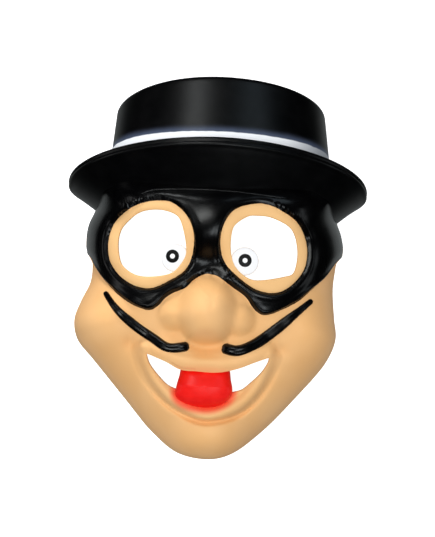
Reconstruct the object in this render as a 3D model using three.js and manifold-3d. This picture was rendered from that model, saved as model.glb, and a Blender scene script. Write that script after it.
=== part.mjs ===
import * as THREE from 'three';
import Module from 'manifold-3d';
import { mergeVertices } from 'three/addons/utils/BufferGeometryUtils.js';

// Bandit mask: one hollow foam shell of a face under a flat-topped hat, lying face up on its open rim.
// Millimetres. +X is the viewer's right, +Y runs from the chin to the hat, +Z points out of the face.

const wasm = await Module();
wasm.setup();

// Shell
const WALL = 4.5;
const FACE_DEPTH = 96;
const FOREHEAD_SLOPE = 0.12;
const FOREHEAD_DROP = { from: 55, to: 67, depth: 14 };
const FACE_CENTRE = new THREE.Vector2(0, -25);
const DOME_SPREAD = 3.6;
const DOME_RISE = 2.1;
const DOME_SEGMENTS = 66;
const DOME_RINGS = 18;
const INNER_SEGMENTS = 36;
const INNER_RINGS = 10;

// Hat
const HAT_TILT = THREE.MathUtils.degToRad(22.2);
const HAT_CENTRE = new THREE.Vector3(0.2, 64.8, 24);
const BRIM_HALF_WIDTH = 125.2;
const BRIM_REACH = 100;
const BRIM_FLARE = 0.62;
const BRIM_HALF_THICKNESS = 2.9;
const BRIM_INNER_RADIUS = 62;
const CROWN_BASE_RADIUS = 93.5;
const CROWN_TOP_RADIUS = 88.3;
const CROWN_HEIGHT = 72.6;
const CROWN_EDGE = 5;
const HAT_SEGMENTS = 54;

// Relief and openings
const DOMINO_RELIEF = 2.5;
const MOUSTACHE = { radius: 3.4, tipShare: 0.5, fullFrom: 0.45, roundFrom: 0.9, steps: 14, sides: 8 };
const EYE_DISC_RADIUS = 11.5;
const SLOT = { x: 104, y: 18, z: 20, length: 40, height: 8, depth: 3.5 };
const CUT_TOP = 160;

// Outlines seen from the front, each a closed smooth curve through these points
const RIM_OUTLINE = [
  [-98, 46], [-104, 30], [-105, 14], [-103, 0], [-104, -16], [-111, -32], [-116, -48], [-113, -64],
  [-99, -81], [-71, -113], [-46, -141], [-24, -157], [3, -161], [21, -156], [45, -137.5], [73, -107],
  [98, -75], [105, -55], [103, -38], [101, -14], [102.5, 4], [104.5, 18], [102.5, 30], [97, 46],
  [98, 70], [100, 105], [80, 150], [0, 182], [-80, 150], [-100, 105], [-98, 70],
];
const DOMINO_OUTLINE = [
  [-125, 6], [-98, -1], [-88, -12], [-77, -25], [-62, -33.5], [-50, -36], [-42, -31], [-33, -22],
  [-22, -16.5], [-13, -8], [-3, -4.5], [8, -9], [21, -18], [30, -26], [36, -34], [45, -36], [58, -30.5],
  [75, -17.5], [92, -2], [125, 12], [120, 40], [95, 66], [50, 64], [0, 58], [-50, 64], [-95, 66], [-120, 40],
];
const LEFT_RING = [
  [-48, 52.5], [-30, 48], [-19.5, 35], [-17, 19], [-20, 3], [-34, -10.5], [-55, -18.5], [-75, -10],
  [-86, 10], [-84, 27], [-69, 45.5],
];
const RIGHT_RING = [
  [32, 53.5], [50.5, 50], [66.5, 38.5], [74, 20], [70, -3], [53, -17], [37, -16.5], [15, -2],
  [4.5, 18], [9.5, 42],
];
const LEFT_EYE = [
  [-46, 45.5], [-33, 42], [-26, 31], [-23.5, 15], [-30, -2], [-52, -9], [-70, -4.5], [-77.5, 10],
  [-76, 28], [-61, 43],
];
const RIGHT_EYE = [
  [33, 44], [52, 40], [64, 29.5], [66.5, 11], [57, -4.5], [33, -8], [16, 4.5], [13, 25], [21, 41],
];
const LEFT_DISC = new THREE.Vector2(-31.5, 7);
const RIGHT_DISC = new THREE.Vector2(24.3, 6.6);
const LEFT_MOUTH = [
  [-50.5, -72.5], [-40, -75.5], [-25, -82.5], [-24.5, -90], [-26.5, -98], [-31, -97], [-44, -85],
];
const RIGHT_MOUTH = [
  [46.5, -70.5], [43, -80], [31, -93.5], [21.5, -98], [17, -88], [17.5, -82], [29, -77.5],
];

// Rounded lumps that stand out of the face: centre and half sizes
const LUMPS = {
  noseTip: { centre: [-4, -36.5, 97], half: [24, 23.5, 33] },
  leftWing: { centre: [-28, -40, 88], half: [14, 14, 22] },
  rightWing: { centre: [21.5, -41, 88], half: [13, 14, 22] },
  bridge: { centre: [-3, -20, 89], half: [18, 30, 25] },
  tongue: { centre: [-4, -94, 86], half: [23, 20, 17] },
};

// Soft swells of the face itself: middle, half sizes across and along, and rise
const SWELLS = [
  { x: -104, y: -50, across: 42, along: 42, rise: 17 },
  { x: 96, y: -46, across: 40, along: 42, rise: 17 },
  { x: 2, y: -148, across: 46, along: 32, rise: 20 },
];
const SWELL_POWER = 1.5;
const LIP_CURVE = [
  [-57, -68], [-52, -83], [-40, -98], [-24, -111], [-3, -119], [16, -115], [31, -105], [43, -88], [51, -70],
];
const LIP_RISE = 8;
const LIP_HALF_WIDTH = 9;
const LEFT_MOUSTACHE = [[-87, -23], [-77, -36.5], [-63.5, -48], [-46, -59], [-34, -65.5], [-20, -64.5]];
const RIGHT_MOUSTACHE = [[80, -22.5], [67, -34], [52.5, -46.5], [35, -60], [22, -65.5], [11, -64.5]];

function curveThrough(points, closed) {
  return new THREE.CatmullRomCurve3(points.map(([x, y]) => new THREE.Vector3(x, y, 0)), closed);
}

// A closed triangle mesh as a solid that can be joined and cut
function solidOf(geometry) {
  const bare = geometry.clone();
  bare.deleteAttribute('normal');
  bare.deleteAttribute('uv');
  const merged = mergeVertices(bare, 1e-4);
  const mesh = new wasm.Mesh({
    numProp: 3,
    vertProperties: new Float32Array(merged.attributes.position.array),
    triVerts: new Uint32Array(merged.index.array),
  });
  return new wasm.Manifold(mesh);
}

function geometryOf(solid) {
  const mesh = solid.getMesh();
  const geometry = new THREE.BufferGeometry();
  geometry.setAttribute('position', new THREE.BufferAttribute(mesh.vertProperties, 3));
  geometry.setIndex(new THREE.BufferAttribute(mesh.triVerts, 1));
  geometry.computeVertexNormals();
  return geometry;
}

const lipPoints = curveThrough(LIP_CURVE, false).getPoints(40);

function lipHeight(x, y) {
  const distance = Math.min(...lipPoints.map((point) => Math.hypot(point.x - x, point.y - y)));
  return LIP_RISE * Math.max(1 - (distance / LIP_HALF_WIDTH) ** 2, 0) ** SWELL_POWER;
}

// Height of the face over (x, y), moved inwards by inset. share runs from 0 at the middle to 1 at the rim.
function faceHeight(x, y, share, inset) {
  const crest = Math.cos(share * Math.PI / 2) ** (2 / DOME_RISE);
  const depth = FACE_DEPTH + FOREHEAD_SLOPE * Math.max(y - FACE_CENTRE.y, 0);
  const drop = FOREHEAD_DROP.depth * THREE.MathUtils.smoothstep(y, FOREHEAD_DROP.from, FOREHEAD_DROP.to);
  let height = (depth - drop - inset) * crest + lipHeight(x, y);
  for (const swell of SWELLS) {
    const away = ((x - swell.x) / swell.across) ** 2 + ((y - swell.y) / swell.along) ** 2;
    height += swell.rise * Math.max(1 - away, 0) ** SWELL_POWER;
  }
  return height;
}

// The face as a solid dome that stands on z = 0, moved inwards by inset
function dome(inset, segments, rings) {
  const rim = curveThrough(RIM_OUTLINE, true).getSpacedPoints(segments).slice(0, segments);
  const positions = [];
  const place = (x, y, share) => positions.push(x, y, share === 1 ? 0 : faceHeight(x, y, share, inset));
  place(FACE_CENTRE.x, FACE_CENTRE.y, 0);
  for (let ring = 1; ring <= rings; ring += 1) {
    const share = (ring / rings) ** (DOME_SPREAD / 2);
    const reach = Math.sin(share * Math.PI / 2) ** (2 / DOME_SPREAD);
    for (const point of rim) {
      const away = new THREE.Vector2(point.x, point.y).sub(FACE_CENTRE);
      away.setLength(away.length() - inset).multiplyScalar(reach);
      place(FACE_CENTRE.x + away.x, FACE_CENTRE.y + away.y, share);
    }
  }
  const floorCentre = positions.length / 3;
  positions.push(FACE_CENTRE.x, FACE_CENTRE.y, 0);
  const index = [];
  for (let i = 0; i < segments; i += 1) {
    const next = (i + 1) % segments;
    index.push(0, 1 + i, 1 + next);
    for (let ring = 0; ring < rings - 1; ring += 1) {
      const inner = 1 + ring * segments;
      const outer = inner + segments;
      index.push(inner + i, outer + i, outer + next);
      index.push(inner + i, outer + next, inner + next);
    }
    const last = 1 + (rings - 1) * segments;
    index.push(last + i, floorCentre, last + next);
  }
  const geometry = new THREE.BufferGeometry();
  geometry.setAttribute('position', new THREE.Float32BufferAttribute(positions, 3));
  geometry.setIndex(index);
  return solidOf(geometry);
}

function lump({ centre, half }, inset) {
  const geometry = new THREE.SphereGeometry(1, 16, 10);
  geometry.scale(half[0] - inset, half[1] - inset, half[2] - inset);
  geometry.translate(...centre);
  return solidOf(geometry);
}

function withLumps(face, inset) {
  return Object.values(LUMPS).reduce((whole, one) => whole.add(lump(one, inset)), face);
}

// An upright prism over a closed outline, for cutting straight through the face
function prism(points, steps, bottom = -1, top = CUT_TOP) {
  const outline = curveThrough(points, true).getSpacedPoints(steps).slice(0, steps);
  const shape = new THREE.Shape(outline.map((point) => new THREE.Vector2(point.x, point.y)));
  const geometry = new THREE.ExtrudeGeometry(shape, { depth: top - bottom, bevelEnabled: false });
  geometry.translate(0, 0, bottom);
  return solidOf(geometry);
}

function roundPrism(centre, radius, bottom = -1, top = CUT_TOP) {
  const geometry = new THREE.CylinderGeometry(radius, radius, top - bottom, 24);
  geometry.rotateX(Math.PI / 2);
  geometry.translate(centre.x, centre.y, (top + bottom) / 2);
  return solidOf(geometry);
}

// A turned shape of the hat, oval in plan: its profile is half width and height along the hat's own axis
function turned(profile) {
  const points = profile.map(([radius, height]) => new THREE.Vector2(radius, height));
  const geometry = new THREE.LatheGeometry(points, HAT_SEGMENTS);
  geometry.scale(1, 1, BRIM_REACH / BRIM_HALF_WIDTH);
  geometry.rotateX(-HAT_TILT);
  geometry.translate(HAT_CENTRE.x, HAT_CENTRE.y, HAT_CENTRE.z);
  return solidOf(geometry);
}

// Height of the middle of the flared brim, which rises to zero at its edge
function flare(radius) {
  return BRIM_FLARE * (radius - BRIM_HALF_WIDTH);
}

function brim() {
  const half = BRIM_HALF_THICKNESS;
  const edge = BRIM_HALF_WIDTH;
  return turned([
    [BRIM_INNER_RADIUS, flare(BRIM_INNER_RADIUS) - half],
    [edge - 2.5, flare(edge - 2.5) - half],
    [edge - 0.4, -1.8],
    [edge, -0.2],
    [edge - 0.6, 1.6],
    [edge - 2.2, 2.4],
    [edge - 4.5, flare(edge - 4.5) + half],
    [BRIM_INNER_RADIUS, flare(BRIM_INNER_RADIUS) + half],
    [BRIM_INNER_RADIUS, flare(BRIM_INNER_RADIUS) - half],
  ]);
}

// The crown, moved inwards by inset, down to the brim's middle raised by lift
function crown(inset, lift) {
  const base = CROWN_BASE_RADIUS - inset;
  const top = CROWN_TOP_RADIUS - inset;
  const height = CROWN_HEIGHT - inset;
  return turned([
    [0, flare(0) + lift],
    [base, flare(base) + lift],
    [top, height - CROWN_EDGE],
    [top - 1.5, height - 1.5],
    [top - CROWN_EDGE, height],
    [0, height],
  ]);
}

// Everything above the brim's middle raised by lift
function aboveBrim(lift) {
  const reach = 260;
  const top = 300;
  return turned([[0, flare(0) + lift], [reach, flare(reach) + lift], [reach, top], [0, top]]);
}

// The way up from the face into the crown
function headWay() {
  const radius = CROWN_BASE_RADIUS - WALL;
  const bottom = -90;
  return turned([[0, bottom], [radius, bottom], [radius, 0], [0, 0]]);
}

function belowFloor() {
  const size = 500;
  const geometry = new THREE.BoxGeometry(size, size, size);
  geometry.translate(0, 0, -size / 2);
  return solidOf(geometry);
}

// One side of the moustache: a roll that lies half sunk in the face and tapers to its outer end
function moustache(points, face) {
  const { steps, sides } = MOUSTACHE;
  const path = curveThrough(points, false).getSpacedPoints(steps);
  const faceMesh = new THREE.Mesh(geometryOf(face));
  const down = new THREE.Vector3(0, 0, -1);
  const positions = [];
  path.forEach((point, step) => {
    const along = step / steps;
    const before = path[Math.max(step - 1, 0)];
    const after = path[Math.min(step + 1, steps)];
    const across = new THREE.Vector2(before.y - after.y, after.x - before.x).normalize();
    const filled = Math.sin(Math.min(along / MOUSTACHE.fullFrom, 1) * Math.PI / 2);
    const taper = MOUSTACHE.tipShare + (1 - MOUSTACHE.tipShare) * filled;
    const pastRound = Math.max(along - MOUSTACHE.roundFrom, 0) / (1 - MOUSTACHE.roundFrom);
    const roundEnd = Math.sqrt(Math.max(1 - pastRound ** 2, 0.1));
    const radius = MOUSTACHE.radius * taper * roundEnd;
    const above = new THREE.Vector3(point.x, point.y, CUT_TOP);
    const height = new THREE.Raycaster(above, down).intersectObject(faceMesh)[0].point.z;
    for (let side = 0; side < sides; side += 1) {
      const angle = side / sides * Math.PI * 2;
      const offset = across.clone().multiplyScalar(radius * Math.cos(angle));
      positions.push(point.x + offset.x, point.y + offset.y, height + radius * Math.sin(angle));
    }
  });
  const last = positions.length / 3 - sides;
  const index = [];
  for (let side = 0; side < sides; side += 1) {
    const next = (side + 1) % sides;
    for (let low = 0; low < last; low += sides) {
      const high = low + sides;
      index.push(low + side, low + next, high + next);
      index.push(low + side, high + next, high + side);
    }
  }
  for (let side = 1; side < sides - 1; side += 1) {
    index.push(0, side + 1, side);
    index.push(last, last + side, last + side + 1);
  }
  const geometry = new THREE.BufferGeometry();
  geometry.setAttribute('position', new THREE.Float32BufferAttribute(positions, 3));
  geometry.setIndex(index);
  return solidOf(geometry);
}

function domino(layer) {
  return layer
    .intersect(prism(DOMINO_OUTLINE, 60))
    .subtract(prism(LEFT_RING, 28))
    .subtract(prism(RIGHT_RING, 28));
}

function eyeCut(outline, disc) {
  return prism(outline, 28).subtract(roundPrism(disc, EYE_DISC_RADIUS));
}

// The elastic's slot through one side wall
function slotCut(side) {
  const geometry = new THREE.BoxGeometry(SLOT.length, SLOT.height, SLOT.depth);
  geometry.translate(side * SLOT.x, SLOT.y, SLOT.z);
  return solidOf(geometry);
}

function mask() {
  const hatSpace = aboveBrim(0);
  const face = withLumps(dome(0, DOME_SEGMENTS, DOME_RINGS), 0).subtract(hatSpace);
  const layer = dome(-DOMINO_RELIEF, DOME_SEGMENTS, DOME_RINGS).subtract(hatSpace);
  const innerFace = withLumps(dome(WALL, INNER_SEGMENTS, INNER_RINGS), WALL);
  const hollow = innerFace
    .subtract(aboveBrim(-BRIM_HALF_THICKNESS))
    .add(innerFace.intersect(headWay()))
    .add(crown(WALL, BRIM_HALF_THICKNESS));
  return face
    .add(domino(layer))
    .add(moustache(LEFT_MOUSTACHE, face))
    .add(moustache(RIGHT_MOUSTACHE, face))
    .add(brim())
    .add(crown(0, 0))
    .subtract(hollow)
    .subtract(belowFloor())
    .subtract(eyeCut(LEFT_EYE, LEFT_DISC))
    .subtract(eyeCut(RIGHT_EYE, RIGHT_DISC))
    .subtract(prism(LEFT_MOUTH, 20))
    .subtract(prism(RIGHT_MOUTH, 20))
    .subtract(slotCut(-1))
    .subtract(slotCut(1));
}

const foam = new THREE.MeshStandardMaterial({ color: 0xe9b076, roughness: 0.5, metalness: 0 });
const maskMesh = new THREE.Mesh(geometryOf(mask()), foam);
maskMesh.name = 'mask';

// The origin is the middle of the mask's length and width, on the plane of the rim
maskMesh.geometry.computeBoundingBox();
const middle = maskMesh.geometry.boundingBox.getCenter(new THREE.Vector3());
maskMesh.position.set(-middle.x, -middle.y, 0);

const group = new THREE.Group();
group.add(maskMesh);

export default group;
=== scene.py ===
import itertools
import math

import bpy
import numpy as np
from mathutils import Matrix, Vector
from mathutils.bvhtree import BVHTree


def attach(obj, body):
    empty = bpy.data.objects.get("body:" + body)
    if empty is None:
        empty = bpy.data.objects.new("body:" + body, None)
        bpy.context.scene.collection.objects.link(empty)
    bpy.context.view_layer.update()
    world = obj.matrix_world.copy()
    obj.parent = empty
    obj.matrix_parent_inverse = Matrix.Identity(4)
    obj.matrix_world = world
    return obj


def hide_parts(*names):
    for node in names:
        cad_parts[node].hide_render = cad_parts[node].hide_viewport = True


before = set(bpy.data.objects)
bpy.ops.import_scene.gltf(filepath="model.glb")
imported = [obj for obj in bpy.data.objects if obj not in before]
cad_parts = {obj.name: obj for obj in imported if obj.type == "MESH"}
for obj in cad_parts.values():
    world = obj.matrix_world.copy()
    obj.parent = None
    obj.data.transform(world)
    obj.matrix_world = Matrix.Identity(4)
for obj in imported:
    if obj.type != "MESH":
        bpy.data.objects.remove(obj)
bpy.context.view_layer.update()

# The mask is modelled in millimetres in the face's own frame: +X is the viewer's right, +Y runs from
# the chin to the hat and +Z points out of the face. SHIFT takes that frame to the part's own.
MM = 0.001
SHIFT = np.array([-0.2, 1.9534, 0.0])

# Shell
WALL = 4.5
FACE_DEPTH = 96.0
FOREHEAD_SLOPE = 0.12
FACE_CENTRE = np.array([0.0, -25.0])
DOME_SPREAD = 3.6
DOME_RISE = 2.1
FACE_SIDES = 480
FACE_RINGS = 165
RING_CROWDING = 1.4
INNER_STEP = 4
SOFTENINGS = 10
# The softening fades out between these shares of the way to the rim
SOFT_ZONE = (0.8, 0.92)
# The swells fade out towards the rim below this share of the dome's height, and the mouth's carving
# below this height
SWELL_FADE = 0.4
CARVING_FADE = 40.0
# From here up the hat hides the face, so its rings get fewer points there
HIDDEN_FROM = 72.0
HIDDEN_DENSITY = 0.3
CUT_BOTTOM = -5.0
CUT_TOP = 160.0
PAINTED_WALL = 1.5
EYE_POINTS = 220
EYE_ROUNDING = 1.0
MOUTH_POINTS = 260
MOUTH_ROUNDING = 1.2
# The forehead falls back under the brim between these two heights, by this much
FOREHEAD_DROP = (55.0, 72.0, 28.0)

# Hat
HAT_TILT = math.radians(22.2)
HAT_CENTRE = np.array([0.2, 64.8, 24.0])
HAT_DEPTH = 100.0 / 125.2
BRIM_EDGE = 125.0
BRIM_FLARE = 0.62
BRIM_HALF = 2.9
BRIM_INNER = 62.0
CROWN_BASE = 93.5
CROWN_TOP = 88.3
CROWN_HEIGHT = 72.6
CROWN_SAG = 3.4
CROWN_SPREAD = 3.5
CROWN_ROUND = 5.0
CROWN_FOOT = 3.5
BRIM_POINT = 0.055
BRIM_TRIM = 0.6
BRIM_SQUASH = 0.016
# The rolled edge of the brim in section, from above to below: distance past the edge and height
BRIM_ROLL = [
    (-3.2, 1.9), (-2.2, 3.0), (-1.1, 3.3), (-0.3, 2.7), (0.0, 1.7), (-0.3, 0.7), (-0.9, 0.0),
    (-0.9, -0.5), (-0.4, -1.2), (-0.2, -2.1), (-0.6, -3.0), (-1.5, -3.8), (-2.8, -4.3),
]
BRIM_ROLL_WIDTH = 4.5
HAT_SIDES = 288
CUTTER_SIDES = 96
# The room from the face into the crown widens by this much below this height along the hat's axis
ROOM_WIDENING = 2.5
ROOM_STEP = -18.0
ROOM_BOTTOM = -90.0
BAND_TOP = 20.0
BAND_RISE = 12.0
# The white band is painted grey towards its right end, as painted shade where the light from the left
# falls off, between these distances to the right
BAND_SHADE_FADE = (45.0, 95.0)
SLOT = {"x": 104.0, "y": 18.0, "z": 20.0, "length": 40.0, "height": 8.0, "depth": 3.5}

# Outlines seen from the front
RIM_OUTLINE = [
    (-98, 46), (-104, 30), (-105, 14), (-103, 0), (-104, -16), (-111, -32), (-116, -48), (-113, -64),
    (-99, -81), (-71, -113), (-46, -141), (-24, -157), (3, -161), (21, -156), (45, -137.5), (73, -107),
    (98, -75), (105, -55), (103, -38), (101, -14), (102.5, 4), (104.5, 18), (102.5, 30), (97, 46),
    (98, 70), (100, 105), (80, 150), (0, 182), (-80, 150), (-100, 105), (-98, 70),
]
DOMINO_LOWER_EDGE = [
    (-140, 14), (-104.5, 5.8), (-98.4, -2.4), (-89.9, -12.7), (-81.7, -20.4), (-71.4, -28.3),
    (-60.4, -33.7), (-49.9, -35.7), (-42.9, -31.4), (-38.3, -25.9), (-32.8, -21.6), (-22.6, -16.8),
    (-14.8, -9.2), (-6.2, -4.8), (-1.4, -5), (3.5, -6.4), (15.1, -14.3), (26.7, -22.3), (32.7, -30.5),
    (39.3, -35.4), (45, -35.6), (57.6, -30.2), (69, -23.8), (80.6, -13.3), (91.5, -3.1), (104.8, 12.4),
    (140, 24),
]
DOMINO_TOP_EDGE = [(140, 95), (-140, 95)]
LEFT_RING = [
    (-46.9, 52.3), (-36.3, 51.4), (-23.6, 41.5), (-17.4, 27.1), (-17.9, 9.9), (-22.9, -2), (-36.1, -11.7),
    (-49.5, -17.9), (-62.1, -17), (-75.2, -9.9), (-84.7, 2.2), (-86.8, 18.3), (-82.3, 33.5),
    (-69.2, 45.5), (-57, 50.8),
]
RIGHT_RING = [
    (31.9, 53.3), (41.7, 52.6), (50.1, 49.5), (66.4, 38.5), (73.8, 22.8), (73.5, 4.7), (65.3, -8.6),
    (52.6, -17.1), (37, -16.4), (21.9, -7.8), (8.5, 5.1), (4.3, 19.5), (6.2, 34.9), (14.3, 47.4),
]
LEFT_EYE = [
    (-45.3, 45), (-60.8, 42.6), (-70.2, 35.7), (-76.3, 28), (-78.2, 16.7), (-75, 0.7), (-69.6, -4.6),
    (-62.5, -8), (-52.4, -8.9), (-36.3, -6), (-30.4, -2.3), (-23.4, 9), (-23.1, 15.2), (-24.4, 23.8),
    (-29, 37.7), (-32.9, 41.7),
]
RIGHT_EYE = [
    (33.1, 43.5), (26.7, 43), (17.4, 37.3), (14, 32.7), (12.8, 16.1), (15.6, 4.7), (19.7, -0.9),
    (25, -5.1), (32.8, -8), (57.2, -4.1), (63.7, -1.5), (66.7, 11.5), (66, 21.1), (63.6, 29.4),
    (59.3, 35.5), (43.4, 42.7),
]
DISC_RADIUS = 11.5
DISC_LEAST = 2.0
DISC_OVERLAP = 1.5
LEFT_DISC = np.array([-31.5, 7.0])
RIGHT_DISC = np.array([24.3, 6.6])
# An eye's plate in section, from its middle over the edge to below: share of the radius and drop
EYE_PROFILE = [(0.0, 0.2)] + [(i / 40, 0.2 + 0.9 * (i / 40) ** 2) for i in range(1, 38)]
EYE_PROFILE += [(0.965, 1.3), (0.99, 1.75), (1.0, 2.4), (1.0, 4.6), (0.98, 5.1), (0.5, 5.1), (0.0, 5.1)]
PUPIL_OUTER = 5.3
PUPIL_INNER = 2.0
LEFT_PUPIL = np.array([-33.7, 8.3])
RIGHT_PUPIL = np.array([24.6, 7.4])

# Mouth
UPPER_LIP_EDGE = [
    (-58, -68.5), (-51, -71), (-45.2, -73), (-34.6, -77.1), (-23.9, -82.5), (-10.4, -83.4), (-0.1, -84),
    (10.1, -83.2), (23.1, -79.7), (35.7, -74.5), (47.1, -70.2), (53, -68.5),
]
MOUTH_LOWER_EDGE = [
    (47.3, -70.2), (46.9, -73), (44.7, -77.8), (40.7, -83.6), (30.9, -93.4), (26.9, -96.7), (21.8, -98.5),
    (12, -100), (-3, -101), (-18, -100), (-27, -98.3), (-33.4, -95.6), (-39.3, -90.3), (-44.7, -84.3),
    (-48.6, -78.8), (-50.8, -73),
]
UPPER_LIP_CURVE = [
    (-52, -64), (-44, -68), (-24, -75.5), (-10, -77), (10, -77), (24, -74), (36, -68.5), (47, -64),
]
LIP_CURVE = [
    (-57, -68), (-52, -83), (-40, -98), (-24, -111), (-3, -118.5), (16, -115), (31, -105), (43, -88),
    (51, -70),
]
CREASE_CURVE = [
    (-64, -63), (-60, -70), (-57.4, -78.4), (-48.7, -95.2), (-33.3, -111.6), (-10, -123.2), (2.2, -124.1),
    (26.2, -117.2), (43.3, -99.4), (51.4, -81), (53.5, -72), (56, -65),
]
DIMPLES = [(-65, -64.5), (54.5, -66)]
DIMPLE_DEPTH = 2.0
DIMPLE_SPREAD = 60.0
# Height at the middle, how much lower it is at the ends, and reach to each side
LIP_ROLL = (7.5, 4.0, 8.0)
UPPER_LIP_ROLL = (3.0, 0.0, 7.5)
# Depth at the middle, how much shallower it is at the ends, half width and how much wider it gets
CREASE = (6.0, 3.8, 2.4, 2.5)
TONGUE = [
    (-22, -80), (-24.4, -88), (-26.5, -97.1), (-27.1, -102), (-25.3, -106.7), (-20.2, -110.5),
    (-12.8, -112.8), (-2.3, -113.5), (7.3, -111.5), (14.4, -107.4), (18.2, -102.5), (19.2, -97.6),
    (17.7, -90), (15, -80), (-3, -78),
]
TONGUE_MIDDLE = np.array([-3.7, -94.5])
TONGUE_RISE = 11.5
TONGUE_SINK = 3.0
# Depth, place and half width of the shallow dent across the tongue
TONGUE_DENT = (0.3, -88.5, 2.6)
# Height of the ground under the tongue at four places from its tip to its root
TONGUE_GROUND = ([-113.5, -104, -95, -76], [83.5, 88.0, 89.5, 80.0])
# The blush fades out towards the root, from this line up
BLUSH_TOP = -92.0
BLUSH_FADE = 1.5
LEFT_MOUSTACHE = [(-88, -23), (-77, -36.3), (-63.5, -47.5), (-46, -58.7), (-34, -65.2), (-17.5, -63.3)]
RIGHT_MOUSTACHE = [(80.7, -22.3), (67, -34), (52.5, -46.5), (35.2, -59.7), (22, -65.2), (9.5, -63.6)]
LEFT_MOUSTACHE_SIZE = (4.0, 3.5)
RIGHT_MOUSTACHE_SIZE = (4.5, 3.7)
WELT = [(-66, 54.5), (-54, 60), (-34, 62), (-10, 62.6), (10, 62.3), (30, 61), (58.6, 58.3)]
WELT_SIZE = (0.9, 0.9)
# Shares of a roll's length: where it is fully swollen, and how much its start and end take to close
ROLL_SWELL = 0.45
ROLL_START = 0.03
ROLL_END = 0.035

# Raised black domino and tan eye rings
STEP_RISE = 1.6
STEP_ROUND = 2.0
CUSHION_RISE = 2.4
CUSHION_REACH = 8.0
# Rise, distance in from the edge and spread of the bead along the domino's edges
BEAD = (0.65, 2.5, 1.3)
# The ring's swell in section is part of a circle, a little wider than the ring, so it starts with a step
RING_RISE = 1.4
RING_HALF = 4.5
RING_REACH = 4.7

# Soft swells of the face: middle, half sizes across and along, rise
SWELLS = [
    (-104, -50, 42, 42, 17),
    (96, -46, 40, 42, 17),
    (2, -148, 46, 32, 20),
    (-28, -70, 38, 20, 7),
    (26, -70, 36, 20, 7),
    (-4, 32, 34, 27, 6),
    (-4, 6, 20, 20, -4),
    (-3, -60.5, 20, 12, -9),
]
# The nose's rounded masses: middle, half sizes across and along, rise, and how blunt the edge is
NOSE = [
    (-4, -34, 38, 25, 11, 0.9),
    (-3, -20, 14, 17, 6, 1.0),
    (-29, -38, 14.5, 14.5, 13, 0.95),
    (22, -40, 13.5, 14.5, 13, 0.9),
    (-4, -35.5, 24, 26, 35.5, 0.62),
]
NOSE_BLEND = 13.0
NOSE_FOOT = 1.5


def colour(code):
    """A linear colour from a hexadecimal one."""
    parts = [int(code[i:i + 2], 16) / 255 for i in (0, 2, 4)]
    linear = [p / 12.92 if p <= 0.04045 else ((p + 0.055) / 1.055) ** 2.4 for p in parts]
    return (*linear, 1.0)


# Curves and distances in the plan

def curve_through(points, closed, steps=8):
    """A smooth line through the points, its pace set by the square root of their spacing."""
    given = np.array(points, float)
    if closed:
        given = np.vstack([given[-1], given, given[:2]])
    else:
        given = np.vstack([2 * given[0] - given[1], given, 2 * given[-1] - given[-2]])
    line = []
    for a, b, c, d in zip(given, given[1:], given[2:], given[3:]):
        knots = np.cumsum([0.0] + [np.linalg.norm(q - p) ** 0.5 for p, q in ((a, b), (b, c), (c, d))])
        t = np.linspace(knots[1], knots[2], steps, endpoint=False)[:, None]
        ab = a + (b - a) * (t - knots[0]) / (knots[1] - knots[0])
        bc = b + (c - b) * (t - knots[1]) / (knots[2] - knots[1])
        cd = c + (d - c) * (t - knots[2]) / (knots[3] - knots[2])
        abc = ab + (bc - ab) * (t - knots[0]) / (knots[2] - knots[0])
        bcd = bc + (cd - bc) * (t - knots[1]) / (knots[3] - knots[1])
        line.append(abc + (bcd - abc) * (t - knots[1]) / (knots[2] - knots[1]))
    if not closed:
        line.append(given[-2:-1])
    return np.vstack(line)


def spaced(line, count, closed, density=None):
    """The line as evenly spaced points; density gives how many of them a stretch deserves."""
    ends = np.vstack([line, line[:1]]) if closed else line
    lengths = np.linalg.norm(np.diff(ends, axis=0), axis=1)
    if density is not None:
        lengths = lengths * density((ends[1:] + ends[:-1]) / 2)
    along = np.concatenate([[0.0], np.cumsum(lengths)])
    wanted = np.linspace(0, along[-1], count, endpoint=not closed)
    return np.stack([np.interp(wanted, along, ends[:, axis]) for axis in (0, 1)], 1)


def follow(points, line, closed=False, far=14.0):
    """How far each point is from the line, on which side (left is positive), and how far along, 0 to 1.
    Points further than far from the line's box are given that distance."""
    start = line if closed else line[:-1]
    end = np.roll(line, -1, 0) if closed else line[1:]
    step = end - start
    squared = (step ** 2).sum(1)
    reached = np.concatenate([[0.0], np.cumsum(np.sqrt(squared))])
    distance = np.full(len(points), far)
    side = np.full(len(points), -1.0)
    along = np.zeros(len(points))
    near = ((points > line.min(0) - far) & (points < line.max(0) + far)).all(1)
    rows = np.nonzero(near)[0]
    for chunk in np.array_split(rows, max(len(rows) // 6000, 1)):
        away = points[chunk][:, None, :] - start
        share = np.clip((away * step).sum(2) / squared, 0, 1)
        gap = away - share[..., None] * step
        gaps = (gap ** 2).sum(2)
        best = gaps.argmin(1)
        row = np.arange(len(chunk))
        distance[chunk] = np.sqrt(gaps[row, best])
        cross = step[best, 0] * away[row, best, 1] - step[best, 1] * away[row, best, 0]
        side[chunk] = np.where(cross > 0, 1.0, -1.0)
        along[chunk] = (reached[best] + share[row, best] * np.sqrt(squared[best])) / reached[-1]
    return distance, side, along


def inside(points, outline):
    """Whether each point is inside the closed outline."""
    held = np.zeros(len(points), bool)
    near = ((points > outline.min(0)) & (points < outline.max(0))).all(1)
    rows = np.nonzero(near)[0]
    a = outline
    b = np.roll(outline, -1, 0)
    slope = (b[:, 0] - a[:, 0]) / np.where(b[:, 1] == a[:, 1], 1e-9, b[:, 1] - a[:, 1])
    for chunk in np.array_split(rows, max(len(rows) // 6000, 1)):
        x, y = points[chunk].T
        straddles = (a[:, 1] > y[:, None]) != (b[:, 1] > y[:, None])
        crossing = a[:, 0] + (y[:, None] - a[:, 1]) * slope
        held[chunk] = (straddles & (x[:, None] < crossing)).sum(1) % 2 == 1
    return held


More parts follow.
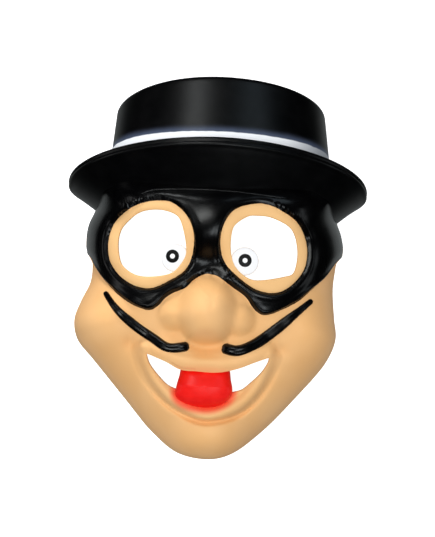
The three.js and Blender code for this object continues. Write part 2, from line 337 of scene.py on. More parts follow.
def signed(points, outline):
    """Distance to the closed outline, negative inside it."""
    distance = follow(points, outline, closed=True)[0]
    return np.where(inside(points, outline), -distance, distance)


def smooth_step(value, low, high):
    """0 at low, 1 at high and a soft rise between them."""
    share = np.clip((value - low) / (high - low), 0, 1)
    return share * share * (3 - 2 * share)


FINE = 20
rim = curve_through(RIM_OUTLINE, True, 24)
left_ring = curve_through(LEFT_RING, True, FINE)
right_ring = curve_through(RIGHT_RING, True, FINE)
left_eye = curve_through(LEFT_EYE, True)
right_eye = curve_through(RIGHT_EYE, True)
domino_lower = curve_through(DOMINO_LOWER_EDGE, False, FINE)
domino_outline = np.vstack([domino_lower, DOMINO_TOP_EDGE])
black_outline = np.vstack([domino_lower, [(140, 200), (-140, 200)]])
mouth = np.vstack([
    curve_through(UPPER_LIP_EDGE[1:-1], False),
    curve_through(MOUTH_LOWER_EDGE, False),
])
lip_line = curve_through(LIP_CURVE, False)
upper_lip_line = curve_through(UPPER_LIP_CURVE, False)
crease_line = curve_through(CREASE_CURVE, False)
tongue_outline = curve_through(TONGUE, True)


# Meshes

def loft(rings):
    """Points and faces of the skin over rings of points. A ring of one point is a tip."""
    starts = np.cumsum([0] + [len(ring) for ring in rings])
    faces = []
    for low in range(len(rings) - 1):
        count = max(len(rings[low]), len(rings[low + 1]))
        here = np.arange(count)
        beside = (here + 1) % count
        a = starts[low]
        b = starts[low + 1]
        if len(rings[low]) == 1:
            block = np.stack([np.full(count, a), b + here, b + beside], 1)
        elif len(rings[low + 1]) == 1:
            block = np.stack([a + beside, a + here, np.full(count, b)], 1)
        else:
            block = np.stack([a + here, b + here, b + beside, a + beside], 1)
        faces.extend(block.tolist())
    return np.vstack(rings), faces


def outward(points, faces):
    """The faces, turned over if they enclose a negative volume."""
    volume = 0.0
    for size in {len(face) for face in faces}:
        corners = np.array([face for face in faces if len(face) == size])
        for k in range(1, size - 1):
            a, b, c = (points[corners[:, i]] for i in (0, k, k + 1))
            volume += (a * np.cross(b, c)).sum()
    return faces if volume > 0 else [face[::-1] for face in faces]


def add_mesh(name, points, faces, material):
    mesh = bpy.data.meshes.new(name)
    mesh.from_pydata(((points + SHIFT) * MM).tolist(), [], outward(points, faces))
    mesh.materials.append(material)
    obj = bpy.data.objects.new(name, mesh)
    bpy.context.scene.collection.objects.link(obj)
    return obj


def carve(obj, operation, *others):
    """Applies boolean operations with the other objects, which are then removed."""
    for one in (obj, *others):
        one.modifiers.new("triangles", "TRIANGULATE")
    for other in others:
        cut = obj.modifiers.new("carve", "BOOLEAN")
        cut.solver = "MANIFOLD"
        cut.operation = operation
        cut.material_mode = "TRANSFER"
        cut.object = other
    bpy.context.view_layer.update()
    graph = bpy.context.evaluated_depsgraph_get()
    result = bpy.data.meshes.new_from_object(obj.evaluated_get(graph))
    obj.modifiers.clear()
    obj.data = result
    for other in others:
        bpy.data.objects.remove(other)


def own_points(obj):
    """The mesh's points in the face's frame, in millimetres."""
    points = np.empty(len(obj.data.vertices) * 3)
    obj.data.vertices.foreach_get("co", points)
    return points.reshape(-1, 3) / MM - SHIFT


def keep_value(obj, name, values):
    """Stores a value for each point of the mesh, for the materials."""
    layer = obj.data.attributes.new(name, "FLOAT", "POINT")
    layer.data.foreach_set("value", np.asarray(values, np.float32))


def smooth(obj, sharp_degrees):
    obj.data.shade_smooth()
    obj.data.set_sharp_from_angle(angle=math.radians(sharp_degrees))


def normals_of(points, faces):
    """The unit normal at each point, from the faces round it."""
    quads = np.array([face if len(face) == 4 else [*face, face[0]] for face in faces])
    a, b, c, d = (points[quads[:, i]] for i in range(4))
    facing = np.cross(c - a, d - b)
    total = np.zeros_like(points)
    for i in range(4):
        for axis in range(3):
            total[:, axis] += np.bincount(quads[:, i], facing[:, axis], len(points))
    return total / np.maximum(np.linalg.norm(total, axis=1, keepdims=True), 1e-9)


# Materials

def new_material(name):
    material = bpy.data.materials.new(name)
    material.use_nodes = True
    return material, material.node_tree, material.node_tree.nodes["Principled BSDF"]


def node(tree, kind, inputs=None, **settings):
    made = tree.nodes.new(kind)
    for key, value in settings.items():
        setattr(made, key, value)
    for key, value in (inputs or {}).items():
        if isinstance(value, bpy.types.NodeSocket):
            tree.links.new(value, made.inputs[key])
        else:
            made.inputs[key].default_value = value
    return made


def noise(tree, size, detail=2.0, roughness=0.5):
    """Noise whose grains are about size millimetres across."""
    place = node(tree, "ShaderNodeTexCoord")
    settings = {
        "Vector": place.outputs["Object"],
        "Scale": 1 / (size * MM),
        "Detail": detail,
        "Roughness": roughness,
    }
    return node(tree, "ShaderNodeTexNoise", settings).outputs["Fac"]


def value_of(tree, name):
    return node(tree, "ShaderNodeAttribute", attribute_name=name).outputs["Fac"]


def ramp(tree, value, low, high, low_to=0.0, high_to=1.0, smooth_ends=True):
    kind = "SMOOTHSTEP" if smooth_ends else "LINEAR"
    settings = {"Value": value, "From Min": low, "From Max": high, "To Min": low_to, "To Max": high_to}
    return node(tree, "ShaderNodeMapRange", settings, interpolation_type=kind).outputs["Result"]


def maths(tree, operation, first, second):
    return node(tree, "ShaderNodeMath", {0: first, 1: second}, operation=operation).outputs[0]


def blend(tree, factor, first, second):
    """A colour that goes from first to second as factor goes from 0 to 1."""
    return node(tree, "ShaderNodeMix", {0: factor, 6: first, 7: second}, data_type="RGBA").outputs[2]


def wavering(tree, name, size, waver):
    """The named distance, with the slight waver of an edge painted by hand."""
    wave = maths(tree, "MULTIPLY", maths(tree, "SUBTRACT", noise(tree, size, 1.0), 0.5), waver)
    return maths(tree, "ADD", value_of(tree, name), wave)


def painted(tree, name, softness=0.18, waver=0.5):
    """1 where the named distance is negative."""
    return ramp(tree, wavering(tree, name, 4.0, waver), -softness, softness, 1.0, 0.0)


def bump(tree, shader, height, strength, distance):
    settings = {"Height": height, "Strength": strength, "Distance": distance * MM}
    tree.links.new(node(tree, "ShaderNodeBump", settings).outputs["Normal"], shader.inputs["Normal"])


def pores(tree, shader):
    """The fine pores of moulded foam that show through its paint."""
    bump(tree, shader, noise(tree, 1.3, 4.0, 0.6), 0.1, 0.2)


SKIN_LIGHT = colour("f3bf82")
SKIN_WARM = colour("efb878")
SKIN_RING = colour("f4c384")
BLACK = colour("020203")
BLACK_WORN = colour("060607")
WHITE = colour("fafbfc")
RED = colour("f81a12")
RED_DEEP = colour("f00f08")
WHITE_WORN = colour("f4f6f8")
BAND_WHITE = colour("f6f9fc")
# Painted shade: the grey that the white band turns towards its right end
BAND_SHADE_GREY = colour("9ba0a6")
BAND_FRINGE = colour("6f7fa0")
FOAM = colour("e6c9a0")
FOAM_DARK = colour("d8b686")


def black_colour(tree):
    return blend(tree, ramp(tree, noise(tree, 14.0, 3.0), 0.35, 0.75), BLACK, BLACK_WORN)


def gloss_of(tree, low, spread, size):
    """Roughness that drifts from place to place."""
    return maths(tree, "ADD", maths(tree, "MULTIPLY", noise(tree, size), spread), low)


def face_material():
    material, tree, shader = new_material("painted_foam")
    skin = blend(tree, ramp(tree, noise(tree, 45.0, 2.0), 0.3, 0.7), SKIN_LIGHT, SKIN_WARM)
    skin = blend(tree, painted(tree, "ring_edge", 1.0), skin, SKIN_RING)
    blush = ramp(tree, value_of(tree, "blush_edge"), 0.0, 6.5, 0.8, 0.0)
    skin = blend(tree, blush, skin, RED)
    black = painted(tree, "black_edge")
    mixed = blend(tree, black, skin, black_colour(tree))
    tree.links.new(mixed, shader.inputs["Base Color"])
    gloss = ramp(tree, black, 0.0, 1.0, 0.5, 0.22, False)
    gloss = maths(tree, "ADD", gloss, maths(tree, "MULTIPLY", noise(tree, 6.0), 0.06))
    tree.links.new(gloss, shader.inputs["Roughness"])
    shader.inputs["Specular IOR Level"].default_value = 0.3
    pores(tree, shader)
    return material


def eye_material():
    material, tree, shader = new_material("eye_paint")
    white = blend(tree, noise(tree, 5.0), WHITE, WHITE_WORN)
    mixed = blend(tree, painted(tree, "pupil_edge", 0.1, 0.15), white, BLACK)
    tree.links.new(mixed, shader.inputs["Base Color"])
    tree.links.new(gloss_of(tree, 0.4, 0.08, 5.0), shader.inputs["Roughness"])
    shader.inputs["Specular IOR Level"].default_value = 0.3
    pores(tree, shader)
    return material


def black_material():
    material, tree, shader = new_material("black_paint")
    tree.links.new(black_colour(tree), shader.inputs["Base Color"])
    tree.links.new(gloss_of(tree, 0.2, 0.08, 6.0), shader.inputs["Roughness"])
    shader.inputs["Specular IOR Level"].default_value = 0.35
    pores(tree, shader)
    return material


def hat_material():
    material, tree, shader = new_material("hat_paint")
    edge = wavering(tree, "band_edge", 8.0, 1.0)
    band = ramp(tree, edge, -0.5, 0.5, 1.0, 0.0)
    # A bluish fringe is painted on the crown just above the band's top edge and fades out over 9 mm
    fringe = maths(tree, "POWER", ramp(tree, edge, 0.0, 9.0, 0.6, 0.0), 2.0)
    black = blend(tree, fringe, black_colour(tree), BAND_FRINGE)
    # Painted shade: the band turns grey towards its right end
    fade = ramp(tree, value_of(tree, "band_shade_side"), *BAND_SHADE_FADE)
    mixed = blend(tree, band, black, blend(tree, fade, BAND_WHITE, BAND_SHADE_GREY))
    tree.links.new(mixed, shader.inputs["Base Color"])
    tree.links.new(gloss_of(tree, 0.32, 0.08, 6.0), shader.inputs["Roughness"])
    shader.inputs["Specular IOR Level"].default_value = 0.3
    pores(tree, shader)
    return material


def tongue_material():
    material, tree, shader = new_material("red_paint")
    mixed = blend(tree, ramp(tree, noise(tree, 9.0), 0.3, 0.7), RED, RED_DEEP)
    tree.links.new(mixed, shader.inputs["Base Color"])
    tree.links.new(gloss_of(tree, 0.3, 0.08, 5.0), shader.inputs["Roughness"])
    shader.inputs["Specular IOR Level"].default_value = 0.25
    pores(tree, shader)
    return material


def foam_material():
    material, tree, shader = new_material("raw_foam")
    mixed = blend(tree, ramp(tree, noise(tree, 3.0, 4.0, 0.7), 0.3, 0.7), FOAM, FOAM_DARK)
    tree.links.new(mixed, shader.inputs["Base Color"])
    shader.inputs["Roughness"].default_value = 0.85
    bump(tree, shader, noise(tree, 0.9, 4.0, 0.7), 0.5, 0.4)
    return material


def floor_material():
    material, tree, shader = new_material("floor_white")
    shader.inputs["Base Color"].default_value = colour("f2f2f2")
    shader.inputs["Roughness"].default_value = 0.9
    shader.inputs["Emission Color"].default_value = (1.0, 1.0, 1.0, 1.0)
    shader.inputs["Emission Strength"].default_value = 1.0
    return material


paint = face_material()
eye_paint = eye_material()
foam = foam_material()
hat_paint = hat_material()
black_paint = black_material()
red_paint = tongue_material()


# Face

def soft_top(first, second, reach):
    """The higher of two rises, blended where they are alike."""
    reach = np.minimum(reach, np.maximum(first, second)) + 1e-6
    near = np.maximum(reach - np.abs(first - second), 0) / reach
    return np.maximum(first, second) + near * near * reach / 4


def soft_face(plan, out):
    """Height of the face before its finer carving. out runs from 0 at the middle to 1 at the rim."""
    x, y = plan.T
    crest = (1 - np.minimum(out, 1) ** DOME_SPREAD) ** (1 / DOME_RISE)
    height = (FACE_DEPTH + FOREHEAD_SLOPE * np.maximum(y - FACE_CENTRE[1], 0)) * crest
    low, high, drop = FOREHEAD_DROP
    height -= drop * smooth_step(y, low, high) * crest
    fade = np.minimum(crest / SWELL_FADE, 1)
    for cx, cy, across, along, rise in SWELLS:
        away = ((x - cx) / across) ** 2 + ((y - cy) / along) ** 2
        height += fade * rise * np.maximum(1 - away, 0) ** 1.5
    nose = np.zeros(len(plan))
    for cx, cy, across, along, rise, blunt in NOSE:
        away = ((x - cx) / across) ** 2 + ((y - cy) / along) ** 2
        nose = soft_top(nose, rise * np.maximum(1 - away, 0) ** blunt, NOSE_BLEND)
    return height + nose ** 2 / (nose + NOSE_FOOT)


def soften(heights, centre, weight, times):
    """Evens out a grid of heights, ring by ring, where weight is above 0."""
    for _ in range(times):
        within = np.vstack([np.full((1, heights.shape[1]), centre), heights[:-1]])
        beyond = np.vstack([heights[1:], heights[-1:]])
        around = (np.roll(heights, 1, 1) + np.roll(heights, -1, 1) + within + beyond) / 4
        heights = heights + weight * (around - heights) * 0.8
        centre = heights[0].mean()
    return heights, centre


def mouth_carving(plan):
    """The lower lip's roll and the crease round it, which ends in a dimple beyond each corner."""
    lip, _, along = follow(plan, lip_line)
    height = roll_height(lip, along, *LIP_ROLL)
    crease, _, around = follow(plan, crease_line)
    outer = np.abs(2 * around - 1) ** 2
    depth, shallower, width, wider = CREASE
    height -= (depth - shallower * outer) * np.exp(-(crease / (width + wider * outer)) ** 2)
    for dimple in DIMPLES:
        height -= DIMPLE_DEPTH * np.exp(-((plan - dimple) ** 2).sum(1) / DIMPLE_SPREAD)
    upper, _, along = follow(plan, upper_lip_line)
    height += roll_height(upper, along, *UPPER_LIP_ROLL)
    return height


def roll_height(distance, along, rise, lower, reach):
    """Height of a soft roll whose ends are lower than its middle."""
    top = rise - lower * np.abs(2 * along - 1) ** 2
    return top * np.maximum(1 - (distance / reach) ** 2, 0) ** 1.5


def quarter_round(depth, width):
    """0 at an edge and 1 from width in, rounded like a quarter of a circle."""
    return np.sin(np.clip(depth / width, 0, 1) * math.pi / 2)


def cushion(depth):
    """0 at an edge and 1 from CUSHION_REACH in."""
    return 1 - (1 - np.clip(depth / CUSHION_REACH, 0, 1)) ** 2


def relief(plan):
    """How far the raised black domino and the tan eye rings stand out of the face."""
    to_left = signed(plan, left_ring)
    to_right = signed(plan, right_ring)
    to_ring = np.minimum(to_left, to_right)
    to_domino = signed(plan, domino_outline)
    within = np.minimum(-to_domino, to_ring)
    raised = STEP_RISE * quarter_round(-to_domino, STEP_ROUND) * quarter_round(to_ring, STEP_ROUND)
    raised += CUSHION_RISE * cushion(-to_domino) * cushion(to_ring)
    rise, inset, spread = BEAD
    raised += rise * np.exp(-((within - inset) / spread) ** 2)
    tan = np.clip(-to_ring, 0, 2 * RING_HALF)
    swell = RING_RISE * np.sqrt(np.maximum(1 - ((tan - RING_HALF) / RING_REACH) ** 2, 0))
    return raised + np.where(to_ring < 0, swell, 0)


def to_hat(points):
    """Half width and height of points along the hat's own axis."""
    away = points - HAT_CENTRE
    height = away[:, 1] * math.cos(HAT_TILT) - away[:, 2] * math.sin(HAT_TILT)
    deep = away[:, 1] * math.sin(HAT_TILT) + away[:, 2] * math.cos(HAT_TILT)
    return np.hypot(away[:, 0], deep / HAT_DEPTH), height


def hat_rings(profile, sides):
    """Rings of points round the hat's axis, one for each half width and height of the profile."""
    turn = np.arange(sides) / sides * 2 * math.pi
    rings = []
    for radius, height in profile:
        angles = turn if radius > 0 else turn[:1]
        brim = smooth_step(radius, CROWN_BASE, BRIM_EDGE)
        power = 1 + BRIM_POINT * brim
        side = np.sign(np.cos(angles)) * np.abs(np.cos(angles)) ** power
        front = np.sign(np.sin(angles)) * np.abs(np.sin(angles)) ** power
        across = radius * side * (1 - BRIM_TRIM * brim * np.minimum(front, 0) ** 2)
        deep = radius * front * HAT_DEPTH * (1 - BRIM_SQUASH * brim)
        share = np.clip(height / CROWN_HEIGHT, 0, 1)
        across += CROWN_SPREAD * (1 - share) * (1 - brim) * np.maximum(side, 0) * (radius > 0)
        up = height - CROWN_SAG * share * np.minimum(across / CROWN_TOP, 0) ** 2
        y = up * math.cos(HAT_TILT) + deep * math.sin(HAT_TILT)
        z = deep * math.cos(HAT_TILT) - up * math.sin(HAT_TILT)
        rings.append(np.stack([across, y, z], 1) + HAT_CENTRE)
    return rings


def flare(radius):
    """Height of the brim's middle, which rises to its edge."""
    return BRIM_FLARE * (radius - BRIM_EDGE)


def above_brim(name):
    """Everything above the brim's middle, for cutting."""
    reach = 260.0
    top = 300.0
    steps = [0, CROWN_BASE, *np.linspace(CROWN_BASE + 3, BRIM_EDGE, 9), reach]
    profile = [(radius, flare(radius)) for radius in steps] + [(reach, top), (0, top)]
    return add_mesh(name, *loft(hat_rings(profile, CUTTER_SIDES)), foam)


def face_density(places):
    """How many points of the rim each place deserves, compared with a visible one."""
    return np.where(places[:, 1] > HIDDEN_FROM, HIDDEN_DENSITY, 1.0)


def face_grid():
    """Rings of places from the face's middle to the rim, with the soft face's heights."""
    outline = spaced(rim, FACE_SIDES, True, face_density)
    share = (np.arange(1, FACE_RINGS + 1) / FACE_RINGS) ** RING_CROWDING
    out = np.sin(share * math.pi / 2) ** (2 / DOME_SPREAD)
    plan = FACE_CENTRE + out[:, None, None] * (outline - FACE_CENTRE)
    flat = plan.reshape(-1, 2)
    reached = np.repeat(out, FACE_SIDES)
    heights = soft_face(flat, reached).reshape(FACE_RINGS, FACE_SIDES)
    middle = soft_face(FACE_CENTRE[None], np.zeros(1))[0]
    weight = (1 - smooth_step(out, *SOFT_ZONE))[:, None]
    heights, middle = soften(heights, middle, weight, SOFTENINGS)
    return plan, heights, middle


def shell():
    """The rings of the face's outer surface, which is carved, and of its inner one, which is plain."""
    plan, heights, middle = face_grid()
    rows = [np.array([[*FACE_CENTRE, middle]])]
    rows += [np.column_stack([ring, height]) for ring, height in zip(plan, heights)]
    points, faces = loft(rows)
    plain_normals = normals_of(points, faces)
    flat = points[:, :2]
    carved = points.copy()
    carved[1:, 2] += mouth_carving(flat[1:]) * np.minimum(points[1:, 2] / CARVING_FADE, 1)
    normals = normals_of(carved, faces)
    normals[-FACE_SIDES:, 2] = 0
    outer = carved + normals * relief(flat)[:, None]
    outer[-FACE_SIDES:, 2] = 0
    inner = points - plain_normals * WALL
    inner[:, 2] = np.maximum(inner[:, 2], 0)
    inner_normals = plain_normals[-FACE_SIDES:, :2]
    inner_normals = inner_normals / np.linalg.norm(inner_normals, axis=1, keepdims=True)
    inner[-FACE_SIDES:, :2] = points[-FACE_SIDES:, :2] - inner_normals * WALL
    inner[-FACE_SIDES:, 2] = 0
    outer_rings = [outer[:1]] + list(outer[1:].reshape(FACE_RINGS, FACE_SIDES, 3))
    inner_rows = inner[1:].reshape(FACE_RINGS, FACE_SIDES, 3)
    kept = list(range(FACE_RINGS - 1, 0, -INNER_STEP))
    inner_rings = [inner_rows[i] for i in kept] + [inner[:1]]
    return outer_rings, inner_rings


outer_rings, inner_rings = shell()
outer_points, outer_faces = loft(outer_rings)
surface = BVHTree.FromPolygons(outer_points.tolist(), outer_faces)


def height_at(plan):
    """Height of the carved face over each point."""
    hits = [surface.ray_cast(Vector((x, y, 300.0)), Vector((0, 0, -1)))[0] for x, y in plan]
    return np.array([hit.z for hit in hits])


def cutter(name, outline, rounding):
    """A plug that cuts straight through the face and rounds the painted edge where it comes out."""
    step = np.roll(outline, -1, 0) - np.roll(outline, 1, 0)
    away = np.stack([step[:, 1], -step[:, 0]], 1)
    away /= np.linalg.norm(away, axis=1, keepdims=True)
    if inside(outline[:1] + away[:1] * 0.2, outline)[0]:
        away = -away
    top = height_at(outline + away * rounding * 0.7)
    for _ in range(2):
        top = (np.roll(top, 1) + np.roll(top, -1) + 2 * top) / 4
    rings = [np.column_stack([outline, np.full(len(outline), CUT_BOTTOM)])]
    rings.append(np.column_stack([outline, top - rounding - PAINTED_WALL]))
    for degrees in (0, 25, 50, 70):
        turn = math.radians(degrees)
        widened = outline + away * rounding * (1 - math.cos(turn))
        rings.append(np.column_stack([widened, top - rounding * (1 - math.sin(turn))]))
    widened = outline + away * (rounding + 1.0)
    rings.append(np.column_stack([widened, top + 1.5]))
    rings.append(np.column_stack([widened, np.full(len(outline), CUT_TOP)]))
    count = len(outline)
    points, faces = loft(rings)
    last = len(points) - count
    faces.append(list(range(count)))
    faces.append(list(range(last, last + count))[::-1])
    plug = add_mesh(name, points, faces, foam)
    plug.data.materials.append(paint)
    kinds = np.ones(len(faces), np.int32)
    kinds[:count] = 0
    plug.data.polygons.foreach_set("material_index", kinds)
    return plug


def slot_cutter(name, side):
    """The room of an elastic's slot through one side wall."""
    middle = np.array([side * SLOT["x"], SLOT["y"], SLOT["z"]])
    half = np.array([SLOT["length"], SLOT["height"], SLOT["depth"]]) / 2
    return block(name, middle - half, middle + half)


def block(name, low, high):
    """A block between two opposite corners, for cutting."""
    corners = np.array(list(itertools.product(*zip(low, high))), float)
    faces = [[0, 1, 3, 2], [4, 6, 7, 5], [0, 4, 5, 1], [2, 3, 7, 6], [0, 2, 6, 4], [1, 5, 7, 3]]
    return add_mesh(name, corners, faces, foam)


def make_face():
    points, faces = loft(outer_rings + inner_rings)
    face = add_mesh("face", points, faces, paint)
    face.data.materials.append(foam)
    kinds = np.zeros(len(faces), np.int32)
    kinds[len(outer_faces):] = 1
    face.data.polygons.foreach_set("material_index", kinds)
    cutters = [
        above_brim("hat_space"),
        cutter("left_eye_cut", spaced(left_eye, EYE_POINTS, True), EYE_ROUNDING),
        cutter("right_eye_cut", spaced(right_eye, EYE_POINTS, True), EYE_ROUNDING),
        cutter("mouth_cut", spaced(mouth, MOUTH_POINTS, True), MOUTH_ROUNDING),
        slot_cutter("left_slot", -1),
        slot_cutter("right_slot", 1),
    ]
    carve(face, "DIFFERENCE", *cutters)
    plan = own_points(face)[:, :2]
    to_ring = np.minimum(signed(plan, left_ring), signed(plan, right_ring))
    keep_value(face, "black_edge", np.maximum(signed(plan, black_outline), -to_ring))
    keep_value(face, "ring_edge", to_ring)
    blush = np.maximum(signed(plan, tongue_outline), (plan[:, 1] - BLUSH_TOP) * BLUSH_FADE)
    keep_value(face, "blush_edge", blush)
    smooth(face, 50)
    return face


def make_eye(name, centre, outline, pupil):
    """The round plate of an eye, which grows out of the ring's inner edge."""
    sides = 144
    turn = np.arange(sides) / sides * 2 * math.pi
    ways = np.stack([np.cos(turn), np.sin(turn)], 1)
    reach = np.arange(DISC_LEAST, DISC_RADIUS, 0.1)
    spots = centre + ways[:, None, :] * reach[:, None]
    free = (signed(spots.reshape(-1, 2), outline) < DISC_OVERLAP).reshape(sides, -1)
    radius = reach[free.cumprod(1).sum(1) - 1]
    fit = np.column_stack([spots.reshape(-1, 2), np.ones(spots.size // 2)])
    level = np.linalg.lstsq(fit, height_at(fit[:, :2]), rcond=None)[0]
    rows = []
    for share, drop in EYE_PROFILE:
        plan = centre + ways * (radius * share)[:, None]
        rows.append(np.column_stack([plan, np.column_stack([plan, np.ones(sides)]) @ level - drop]))
    points, faces = loft([rows[0].mean(0)[None]] + rows[1:-1] + [rows[-1].mean(0)[None]])
    piece = add_mesh(name, points, faces, eye_paint)
    away = np.linalg.norm(points[:, :2] - pupil, axis=1)
    ring = np.abs(away - (PUPIL_OUTER + PUPIL_INNER) / 2) - (PUPIL_OUTER - PUPIL_INNER) / 2
    keep_value(piece, "pupil_edge", ring)
    smooth(piece, 60)
    return piece


def crown_profile():
    """The hat in section, from its axis out over the crown and brim and back along the inside."""
    base = flare(CROWN_BASE) + BRIM_HALF
    foot = CROWN_BASE + CROWN_FOOT
    round_middle = (CROWN_TOP - CROWN_ROUND, CROWN_HEIGHT - CROWN_ROUND)
    outside = [(0, CROWN_HEIGHT), (40, CROWN_HEIGHT), (70, CROWN_HEIGHT - 0.2)]
    for degrees in range(0, 91, 15):
        turn = math.radians(degrees)
        radius = round_middle[0] + CROWN_ROUND * math.sin(turn)
        outside.append((radius, round_middle[1] + CROWN_ROUND * math.cos(turn)))
    side = 24
    for i in range(1, side):
        share = i / side
        radius = CROWN_TOP + (CROWN_BASE - CROWN_TOP) * share
        outside.append((radius, round_middle[1] + (base - round_middle[1]) * share))
    outside += [(CROWN_BASE + 1.0, base + 1.2), (foot, flare(foot) + BRIM_HALF)]
    for radius in np.linspace(foot, BRIM_EDGE - 5, 9)[1:]:
        outside.append((radius, flare(radius) + BRIM_HALF))
    roll_end = BRIM_EDGE - BRIM_ROLL_WIDTH
    lip = [(BRIM_EDGE + past, height) for past, height in BRIM_ROLL]
    lip.append((roll_end, flare(roll_end) - BRIM_HALF))
    under = [(radius, flare(radius) - BRIM_HALF) for radius in np.linspace(roll_end, BRIM_INNER, 13)[1:]]
    inner_radius = CROWN_BASE - WALL
    inside_wall = [
        (BRIM_INNER, flare(BRIM_INNER) + BRIM_HALF),
        (inner_radius, flare(inner_radius) + BRIM_HALF),
        (CROWN_TOP - WALL, CROWN_HEIGHT - WALL - 4),
        (CROWN_TOP - WALL - 4, CROWN_HEIGHT - WALL),
        (0, CROWN_HEIGHT - WALL),
    ]
    return outside, lip, under, inside_wall


def make_hat():
    outside, lip, under, inside_wall = crown_profile()
    profile = outside + lip + under + inside_wall
    points, faces = loft(hat_rings(profile, HAT_SIDES))
    hat = add_mesh("hat", points, faces, hat_paint)
    hat.data.materials.append(foam)
    painted_rings = len(outside) + len(lip) + len(under)
    kinds = np.zeros(len(faces), np.int32)
    kinds[HAT_SIDES * (painted_rings - 1):] = 1
    hat.data.polygons.foreach_set("material_index", kinds)
    passage = make_passage()
    below = block("below", (-300, -300, -600), (300, 300, 0))
    carve(hat, "DIFFERENCE", passage, below)
    keep_value(hat, "band_edge", band_edge(own_points(hat)))
    # Distance to the right, for the band's painted shade
    keep_value(hat, "band_shade_side", own_points(hat)[:, 0])
    smooth(hat, 50)
    return hat


def make_passage():
    """The room inside the face, as far as it lies within the crown, for cutting it out of the hat."""
    sink = 2.0
    room = [ring - np.array([0, 0, sink]) * (ring[:, 2:] <= 0) for ring in inner_rings[::-1]]
    passage = add_mesh("passage", *loft(room + [np.array([[*FACE_CENTRE, -sink]])]), foam)
    wide = CROWN_BASE + ROOM_WIDENING
    narrow = CROWN_BASE - WALL
    way = [
        (0, ROOM_BOTTOM), (wide, ROOM_BOTTOM), (wide, ROOM_STEP),
        (narrow, ROOM_STEP), (narrow, 0.0), (0, 0.0),
    ]
    carve(passage, "INTERSECT", add_mesh("way", *loft(hat_rings(way, CUTTER_SIDES)), foam))
    return passage


def band_edge(points):
    """Height above the white band's top edge, which rises to the sides. The brim is outside the band."""
    radius, height = to_hat(points)
    turn = (points[:, 0] - HAT_CENTRE[0]) / np.maximum(radius, 1e-6)
    facing = np.sqrt(np.maximum(1 - turn ** 2, 0))
    top = BAND_TOP + BAND_RISE * (1 - facing)
    wall = CROWN_BASE + 0.5 + CROWN_SPREAD * np.maximum(turn, 0) ** 2
    brim = (radius > wall) | (height < flare(radius))
    return np.where(brim, 30.0, height - top)


def make_roll(name, route, size, tip_share, groove):
    """A roll along the route, half sunk in the face. It swells from tip_share at its start."""
    steps = 120
    sides = 32
    plan = spaced(curve_through(route, False, 16), steps, False)
    heights = height_at(plan)
    for _ in range(6):
        heights[1:-1] = (heights[:-2] + heights[2:] + 2 * heights[1:-1]) / 4
    path = np.column_stack([plan, heights])
    along = np.gradient(path, axis=0)
    along /= np.linalg.norm(along, axis=1, keepdims=True)
    across = np.cross(np.array([0.0, 0.0, 1.0]), along)
    across /= np.linalg.norm(across, axis=1, keepdims=True)
    out = np.cross(along, across)
    turn = np.arange(sides) / sides * 2 * math.pi
    dent = 1 - groove * np.exp(-(np.cos(turn) / 0.3) ** 2) * (np.sin(turn) > 0)
    rings = []
    for i in range(steps):
        share = i / (steps - 1)
        swell = tip_share + (1 - tip_share) * smooth_step(share, 0.0, ROLL_SWELL)
        past = max((share - 1 + ROLL_END) / ROLL_END, (ROLL_START - share) / ROLL_START, 0)
        closing = math.sqrt(max(1 - past ** 2, 0.02))
        width, height = (one * swell * closing for one in size)
        sideways = width * np.cos(turn)[:, None] * across[i]
        rings.append(path[i] + sideways + (height * np.sin(turn) * dent)[:, None] * out[i])
    points, faces = loft([path[:1]] + rings + [path[-1:]])
    piece = add_mesh(name, points, faces, black_paint)
    smooth(piece, 60)
    return piece


def make_tongue():
    """A lump that comes out from under the upper lip and hangs over the lower one."""
    sides = 160
    rows = 46
    outline = spaced(tongue_outline, sides, True)
    top = []
    under = []
    for i in range(1, rows + 1):
        share = (i / rows) ** 1.2
        out = math.sin(share * math.pi / 2) ** (2 / 3)
        plan = TONGUE_MIDDLE + out * (outline - TONGUE_MIDDLE)
        crest = (1 - min(out, 1) ** 3) ** (1 / 2.2)
        ground = np.interp(plan[:, 1], *TONGUE_GROUND)
        depth, place, width = TONGUE_DENT
        dent = depth * np.exp(-((plan[:, 1] - place) / width) ** 2)
        top.append(np.column_stack([plan, ground + (TONGUE_RISE - dent) * crest]))
        under.append(np.column_stack([plan, ground - TONGUE_SINK * crest]))
    middle = np.array([[*TONGUE_MIDDLE, top[0][:, 2].mean()]])
    low = np.array([[*TONGUE_MIDDLE, under[0][:, 2].mean()]])
    points, faces = loft([middle] + top + under[-2::-3] + [low])
    piece = add_mesh("tongue", points, faces, red_paint)
    smooth(piece, 60)
    return piece


pieces = [
    make_face(),
    make_hat(),
    make_tongue(),
    make_eye("eye_left", LEFT_DISC, left_eye, LEFT_PUPIL),
    make_eye("eye_right", RIGHT_DISC, right_eye, RIGHT_PUPIL),
    make_roll("moustache_left", LEFT_MOUSTACHE, LEFT_MOUSTACHE_SIZE, 0.58, 0.2),
    make_roll("moustache_right", RIGHT_MOUSTACHE, RIGHT_MOUSTACHE_SIZE, 0.52, 0.2),
    make_roll("forehead_welt", WELT, WELT_SIZE, 0.6, 0.0),
]
for piece in pieces:
    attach(piece, "root")
    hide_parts("mask")


# Stage, lights and camera
LIGHT_DISTANCE = 2.0
CAMERA_PLACE = (0.0026, 0.00195, 1.8)
CAMERA_ROLL = math.radians(2.5)
SENSOR_HEIGHT = 36.0
LENS = 142.2
FLOOR_HALF = 3.0
FLOOR_LEVEL = -0.0002


def make_floor():
    """A plain pale floor that gives its own even light."""
    mesh = bpy.data.meshes.new("floor")
    ways = [(-1, -1), (1, -1), (1, 1), (-1, 1)]
    corners = [(FLOOR_HALF * x, FLOOR_HALF * y, FLOOR_LEVEL) for x, y in ways]
    mesh.from_pydata(corners, [], [(0, 1, 2, 3)])
    mesh.materials.append(floor_material())
    floor = bpy.data.objects.new("floor", mesh)
    floor.visible_glossy = False
    floor.visible_diffuse = False
    bpy.context.scene.collection.objects.link(floor)


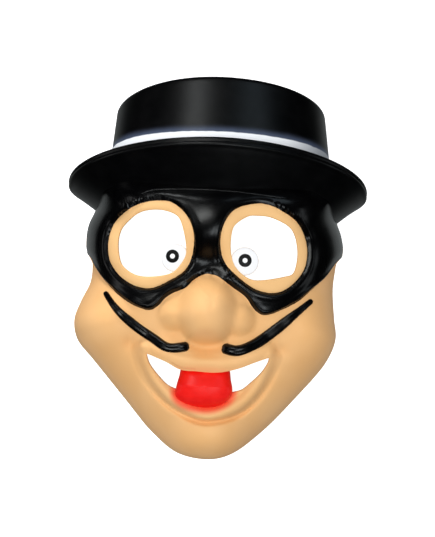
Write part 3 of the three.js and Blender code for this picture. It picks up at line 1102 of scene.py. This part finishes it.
def add_light(name, direction, size, power, tint, matt):
    """A soft rectangular light that looks at the mask from a direction. It gives either matt light or
    the reflections in gloss."""
    light = bpy.data.lights.new(name, "AREA")
    light.shape = "RECTANGLE"
    light.size, light.size_y = size
    light.energy = power
    light.color = tint
    obj = bpy.data.objects.new(name, light)
    away = Vector(direction).normalized()
    obj.location = Vector((0, 0, 0.08)) + away * LIGHT_DISTANCE
    obj.rotation_euler = away.to_track_quat("Z", "Y").to_euler()
    obj.visible_camera = False
    obj.visible_diffuse = matt
    obj.visible_glossy = not matt
    bpy.context.scene.collection.objects.link(obj)


def make_camera():
    data = bpy.data.cameras.new("camera")
    data.sensor_fit = "VERTICAL"
    data.sensor_height = SENSOR_HEIGHT
    data.lens = LENS
    camera = bpy.data.objects.new("camera", data)
    camera.location = CAMERA_PLACE
    camera.rotation_euler = (0.0, 0.0, CAMERA_ROLL)
    bpy.context.scene.collection.objects.link(camera)
    bpy.context.scene.camera = camera


def set_world():
    world = bpy.data.worlds.new("studio")
    world.use_nodes = True
    background = world.node_tree.nodes["Background"]
    background.inputs["Color"].default_value = (0.95, 0.97, 1.0, 1.0)
    background.inputs["Strength"].default_value = 0.58
    world.cycles_visibility.glossy = False
    bpy.context.scene.world = world
    bpy.context.scene.view_settings.view_transform = "Standard"


make_floor()
make_camera()
set_world()
add_light("front", (-0.1, -0.05, 0.99), (0.6, 0.6), 20.0, (1.0, 1.0, 1.0), True)
add_light("top", (-0.35, 0.93, 0.08), (0.5, 0.5), 24.0, (1.0, 1.0, 1.0), True)
add_light("softbox", (-0.33, 0.79, 0.52), (0.4, 0.4), 5.0, (0.96, 1.0, 1.0), False)
add_light("sky", (-0.22, 0.28, 0.93), (0.8, 0.5), 9.0, (0.97, 1.0, 0.98), False)
add_light("window", (0.4, 0.77, 0.49), (0.6, 0.8), 2.4, (0.7, 0.87, 1.0), False)
add_light("low", (0.2, -0.32, 0.92), (0.8, 0.5), 7.0, (0.9, 0.97, 1.0), False)
add_light("kicker", (-0.64, -0.03, 0.77), (0.25, 0.25), 0.8, (0.93, 0.97, 1.0), False)
add_light("left_wall", (-0.97, 0.1, 0.2), (1.2, 0.5), 2.6, (1.0, 1.0, 1.0), False)
add_light("right_wall", (0.97, -0.1, 0.2), (1.2, 0.5), 1.8, (0.9, 0.97, 1.0), False)
add_light("table", (0.0, 0.0, -1.0), (4.0, 3.0), 13.0, (0.93, 1.0, 1.0), False)
